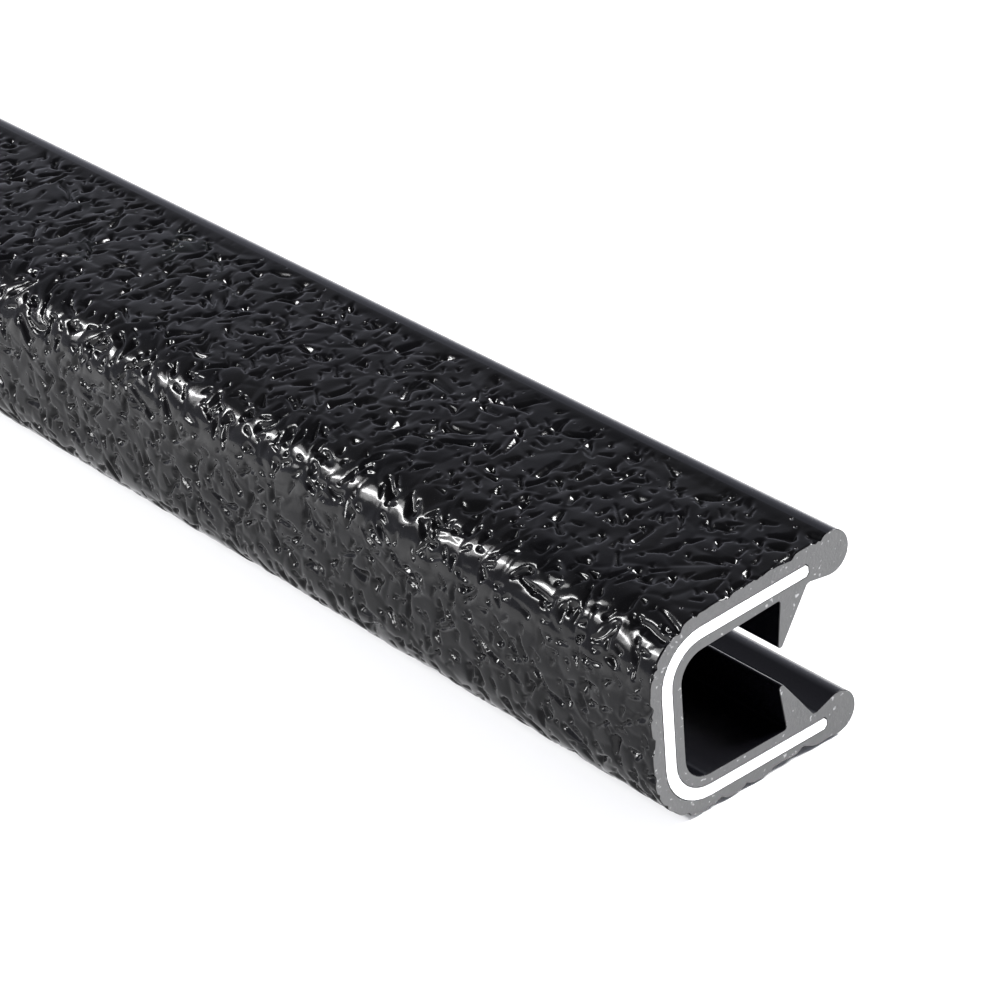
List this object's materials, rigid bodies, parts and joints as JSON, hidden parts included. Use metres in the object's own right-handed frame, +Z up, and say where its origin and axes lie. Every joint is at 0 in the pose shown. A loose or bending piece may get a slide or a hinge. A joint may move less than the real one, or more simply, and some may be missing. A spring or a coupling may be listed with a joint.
{
  "type": "edge trim seal",
  "caption": "Straight length of pebbled vinyl edge trim with a C-shaped section, round beads, inner gripping fins and a bent aluminium core; pushes onto a bare panel edge.",
  "frame": {"origin": "on the floor plane under the middle of the length, half way between the outside of the web and the tips of the beads", "axes": "+Y along the length, +X from the web towards the open mouth, +Z up; it lies on its lower leg"},
  "size_m": [0.0126, 0.3048, 0.0112],
  "materials": {
    "vinyl": "gloss",
    "aluminium": "satin"
  },
  "bodies": {
    "root": {"vinyl_cover": "vinyl", "aluminium_core": "aluminium"}
  },
  "joints": []
}
